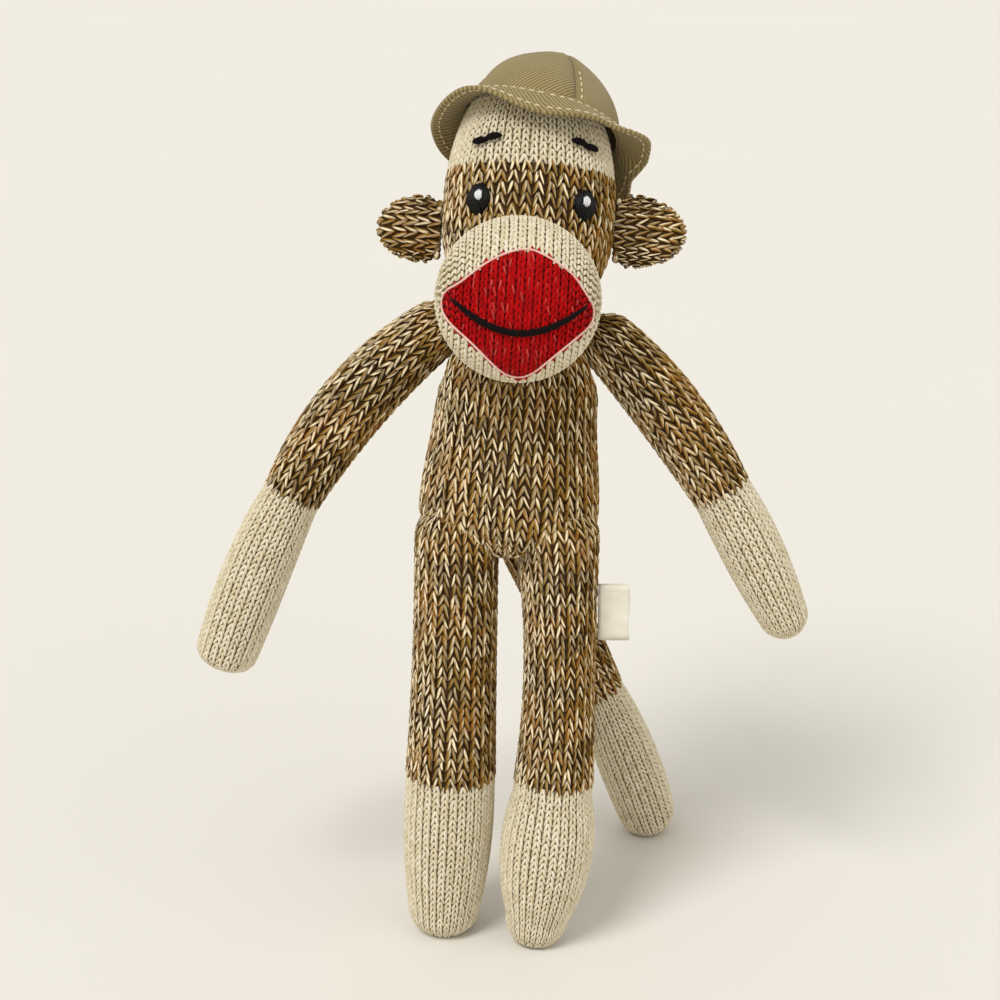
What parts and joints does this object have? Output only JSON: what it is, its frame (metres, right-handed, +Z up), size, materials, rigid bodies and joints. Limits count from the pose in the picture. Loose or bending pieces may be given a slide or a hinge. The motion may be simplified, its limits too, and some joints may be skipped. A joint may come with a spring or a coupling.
{
  "type": "sock monkey doll",
  "caption": "Stuffed knitted sock monkey doll with jointed limbs, head, ears and tail, a stitched smiling mouth and a small lift-off cloth bucket hat.",
  "frame": {"origin": "on the floor, under the middle of the doll's bounding box", "axes": "+Z up; the doll faces -Y, and its own right side is at -X"},
  "size_m": [0.2124, 0.1208, 0.304],
  "materials": {
    "knit_brown": "marl knit",
    "knit_cream": "rib knit",
    "knit_red": "knit",
    "thread_black": "yarn",
    "thread_white": "thread",
    "twill_khaki": "cotton twill",
    "ribbon_white": "satin ribbon",
    "filling": "polyester filling"
  },
  "bodies": {
    "torso": {"torso_cover": "knit_brown", "torso_stuffing": "filling"},
    "neck": {"neck_gather": "knit_brown"},
    "head": {"head_cover": "knit_brown", "head_crown": "knit_cream", "head_stuffing": "filling", "muzzle_cover": "knit_cream", "muzzle_stuffing": "filling", "lips": "knit_red", "mouth_thread": "thread_black", "right_eye": "thread_black", "left_eye": "thread_black", "right_eye_glint": "thread_white", "left_eye_glint": "thread_white", "right_brow": "thread_black", "left_brow": "thread_black"},
    "right_ear": {"right_ear": "knit_brown"},
    "left_ear": {"left_ear": "knit_brown"},
    "hat": {"hat_gore_front_left": "twill_khaki", "hat_gore_front_right": "twill_khaki", "hat_gore_back_left": "twill_khaki", "hat_gore_back_right": "twill_khaki", "hat_brim": "twill_khaki"},
    "right_shoulder": {"right_arm_tie": "thread_white"},
    "right_arm": {"right_arm": "knit_brown", "right_arm_stuffing": "filling"},
    "right_hand": {"right_hand": "knit_cream", "right_hand_stuffing": "filling"},
    "left_shoulder": {"left_arm_tie": "thread_white"},
    "left_arm": {"left_arm": "knit_brown", "left_arm_stuffing": "filling"},
    "left_hand": {"left_hand": "knit_cream", "left_hand_stuffing": "filling"},
    "right_leg": {"right_leg": "knit_brown", "right_leg_stuffing": "filling"},
    "right_foot": {"right_foot": "knit_cream", "right_foot_stuffing": "filling"},
    "left_leg": {"left_leg": "knit_brown", "left_leg_stuffing": "filling"},
    "left_foot": {"left_foot": "knit_cream", "left_foot_stuffing": "filling"},
    "label": {"label": "ribbon_white"},
    "tail_root": {"tail_tie": "thread_white"},
    "tail": {"tail": "knit_brown", "tail_stuffing": "filling"},
    "tail_tip": {"tail_tip": "knit_cream", "tail_tip_stuffing": "filling"}
  },
  "joints": [
    {"name": "neck_turn", "type": "hinge", "parent": "torso", "child": "neck", "pos_m": [0.00755, -0.00483, 0.23212], "axis": [0.057, 0.3584, 0.9318], "range_deg": [-20, 20], "stiffness_Nm_per_rad": 0.15},
    {"name": "head_nod", "type": "hinge", "parent": "neck", "child": "head", "pos_m": [0.00755, -0.00483, 0.23212], "axis": [0.9981, 0, -0.061], "range_deg": [-15, 5], "stiffness_Nm_per_rad": 0.15},
    {"name": "right_ear_fold", "type": "hinge", "parent": "head", "child": "right_ear", "pos_m": [-0.02165, 0.00044, 0.24766], "axis": [0.057, 0.3584, 0.9318], "range_deg": [-35, 35], "stiffness_Nm_per_rad": 0.004},
    {"name": "left_ear_fold", "type": "hinge", "parent": "head", "child": "left_ear", "pos_m": [0.03862, 0.00162, 0.24706], "axis": [-0.057, -0.3584, -0.9318], "range_deg": [-35, 35], "stiffness_Nm_per_rad": 0.004},
    {"name": "hat_lift", "type": "slide", "parent": "head", "child": "hat", "axis": [0.2186, 0.5539, 0.8034], "range_m": [0, 0.06]},
    {"name": "right_arm_swing", "type": "hinge", "parent": "torso", "child": "right_shoulder", "pos_m": [-0.02306, -0.01045, 0.21573], "axis": [-1, 0, 0], "range_deg": [-50, 150], "stiffness_Nm_per_rad": 0.05},
    {"name": "right_arm_raise", "type": "hinge", "parent": "right_shoulder", "child": "right_arm", "pos_m": [-0.02306, -0.01045, 0.21573], "axis": [0, 1, 0], "range_deg": [-16, 45], "stiffness_Nm_per_rad": 0.05},
    {"name": "right_hand_bend", "type": "hinge", "parent": "right_arm", "child": "right_hand", "pos_m": [-0.07307, -0.01045, 0.15613], "axis": [-0.8855, 0, 0.4647], "range_deg": [-30, 35], "stiffness_Nm_per_rad": 0.03},
    {"name": "left_arm_swing", "type": "hinge", "parent": "torso", "child": "left_shoulder", "pos_m": [0.03579, -0.01045, 0.21152], "axis": [-1, 0, 0], "range_deg": [-50, 150], "stiffness_Nm_per_rad": 0.05},
    {"name": "left_arm_raise", "type": "hinge", "parent": "left_shoulder", "child": "left_arm", "pos_m": [0.03579, -0.01045, 0.21152], "axis": [0, -1, 0], "range_deg": [-16, 45], "stiffness_Nm_per_rad": 0.05},
    {"name": "left_hand_bend", "type": "hinge", "parent": "left_arm", "child": "left_hand", "pos_m": [0.07623, -0.01045, 0.15711], "axis": [-0.8714, 0, -0.4905], "range_deg": [-30, 35], "stiffness_Nm_per_rad": 0.03},
    {"name": "right_leg_swing", "type": "hinge", "parent": "torso", "child": "right_leg", "pos_m": [-0.0154, -0.0238, 0.1472], "axis": [-1, 0, 0], "range_deg": [-20, 85], "stiffness_Nm_per_rad": 0.8},
    {"name": "right_foot_bend", "type": "hinge", "parent": "right_leg", "child": "right_foot", "pos_m": [-0.01831, -0.0248, 0.05543], "axis": [-1, 0, 0], "range_deg": [-30, 30], "stiffness_Nm_per_rad": 0.8},
    {"name": "left_leg_swing", "type": "hinge", "parent": "torso", "child": "left_leg", "pos_m": [0.0186, -0.0238, 0.1472], "axis": [-1, 0, 0], "range_deg": [-20, 85], "stiffness_Nm_per_rad": 0.8},
    {"name": "left_foot_bend", "type": "hinge", "parent": "left_leg", "child": "left_foot", "pos_m": [0.01748, -0.03077, 0.05606], "axis": [-1, 0, 0], "range_deg": [-30, 26], "stiffness_Nm_per_rad": 0.8},
    {"name": "label_flap", "type": "hinge", "parent": "left_leg", "child": "label", "pos_m": [0.03259, -0.02578, 0.12128], "axis": [0, 0, 1], "range_deg": [-40, 40], "stiffness_Nm_per_rad": 0.0005},
    {"name": "tail_swing", "type": "hinge", "parent": "torso", "child": "tail_root", "pos_m": [0.0016, 0.0032, 0.1462], "axis": [0, 1, 0], "range_deg": [-20, 60], "stiffness_Nm_per_rad": 1.6},
    {"name": "tail_lift", "type": "hinge", "parent": "tail_root", "child": "tail", "pos_m": [0.0016, 0.0032, 0.1462], "axis": [-0.916, 0, -0.4011], "range_deg": [-60, 2], "stiffness_Nm_per_rad": 1.6},
    {"name": "tail_bend", "type": "hinge", "parent": "tail", "child": "tail_tip", "pos_m": [0.03681, 0.03351, 0.06579], "axis": [-0.916, 0, -0.4011], "range_deg": [-30, 30], "stiffness_Nm_per_rad": 1}
  ]
}
